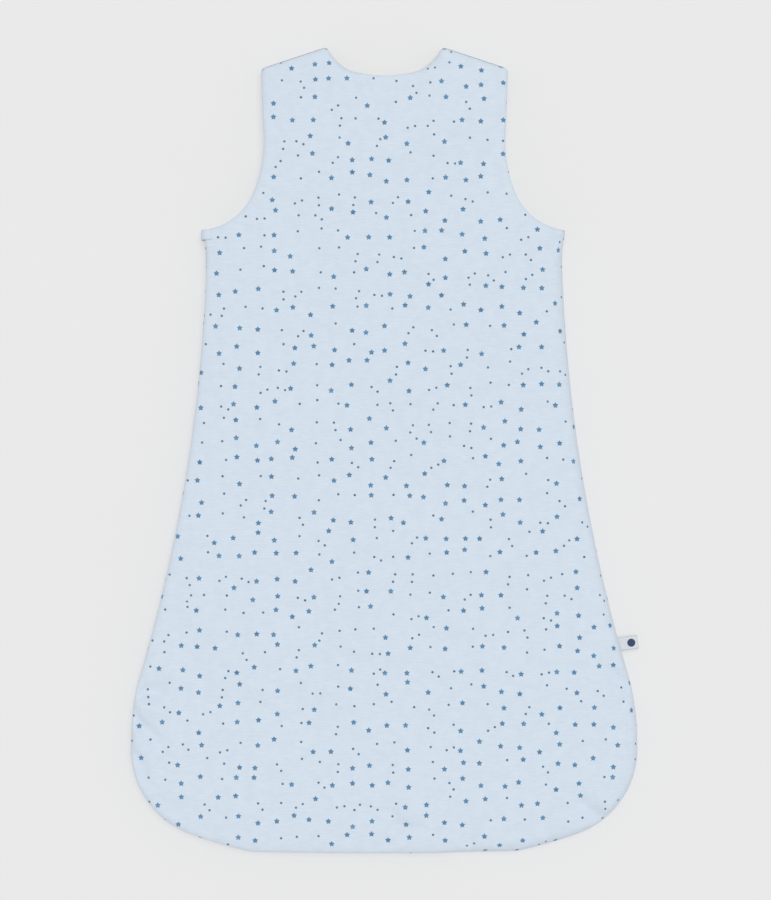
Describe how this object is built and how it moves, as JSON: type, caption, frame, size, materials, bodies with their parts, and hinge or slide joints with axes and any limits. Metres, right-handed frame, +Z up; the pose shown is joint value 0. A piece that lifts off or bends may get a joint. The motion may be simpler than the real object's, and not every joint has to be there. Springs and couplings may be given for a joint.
{
  "type": "baby sleeping bag",
  "caption": "Padded sleeveless sleeping bag for a baby, flared to a rounded hem, with folded snap shoulders and a side zip that runs round one corner",
  "frame": {"origin": "centre of the bag's plan box, at the surface it lies on", "axes": "+Z up through the back panel, +Y towards the neck, zip on the -X side"},
  "size_m": [0.442, 0.7, 0.0268],
  "materials": {
    "printed_jersey": "soft pale blue cotton jersey with small blue stars and dots",
    "wadding": "white polyester wadding",
    "lining": "plain white cotton jersey",
    "zip_tape": "woven pale blue polyester tape",
    "zip_teeth": "pale nylon coil",
    "slider_metal": "light grey enamelled metal",
    "snap_plastic": "smooth white acetal",
    "label": "white satin ribbon",
    "emblem": "navy woven disc"
  },
  "bodies": {
    "bag": {"back_shell": "printed_jersey", "back_wadding": "wadding", "back_lining": "lining", "front_shell": "printed_jersey", "front_wadding": "wadding", "front_lining": "lining", "side_seam": "printed_jersey", "front_zip_tape": "zip_tape", "front_zip_teeth": "zip_teeth", "back_zip_tape": "zip_tape", "back_zip_teeth": "zip_teeth", "zip_top_stops": "zip_teeth", "zip_bottom_stop": "zip_teeth", "zip_garage": "printed_jersey", "zip_guard": "lining", "flag_label": "label", "flag_emblem": "emblem", "care_label": "label", "neck_label": "label", "left_snap_studs": "snap_plastic", "right_snap_studs": "snap_plastic", "left_stud_backs": "snap_plastic", "right_stud_backs": "snap_plastic"},
    "opening_flap": {"flap_shell": "printed_jersey", "flap_wadding": "wadding", "flap_lining": "lining", "flap_zip_tape": "zip_tape", "flap_zip_teeth": "zip_teeth"},
    "zip_slider": {"slider_body": "slider_metal", "slider_bridge": "slider_metal"},
    "zip_pull": {"pull_tab": "slider_metal"},
    "left_strap": {"left_strap_shell": "printed_jersey", "left_strap_wadding": "wadding", "left_strap_lining": "lining", "left_strap_snap_caps": "snap_plastic", "left_strap_snap_sockets": "snap_plastic"},
    "right_strap": {"right_strap_shell": "printed_jersey", "right_strap_wadding": "wadding", "right_strap_lining": "lining", "right_strap_snap_caps": "snap_plastic", "right_strap_snap_sockets": "snap_plastic"}
  },
  "joints": [
    {"name": "flap_fold", "type": "hinge", "parent": "bag", "child": "opening_flap", "pos_m": [-0.1565, 0.13, 0.028], "axis": [-0.4147, 0.91, 0], "range_deg": [0, 165]},
    {"name": "zip_slide", "type": "hinge", "parent": "bag", "child": "zip_slider", "pos_m": [-1.2005, 0.14, 0], "axis": [0, 0, -1], "range_deg": [0, 19.7]},
    {"name": "pull_swing", "type": "hinge", "parent": "zip_slider", "child": "zip_pull", "pos_m": [-0.15518, 0.17486, 0.013], "axis": [0, 0, -1], "range_deg": [0, 135]},
    {"name": "left_strap_fold", "type": "hinge", "parent": "bag", "child": "left_strap", "pos_m": [-0.07875, 0.3405, 0.012], "axis": [0.9495, 0.3138, 0], "range_deg": [0, 180]},
    {"name": "right_strap_fold", "type": "hinge", "parent": "bag", "child": "right_strap", "pos_m": [0.07875, 0.3405, 0.012], "axis": [0.9495, -0.3138, 0], "range_deg": [0, 180]}
  ]
}
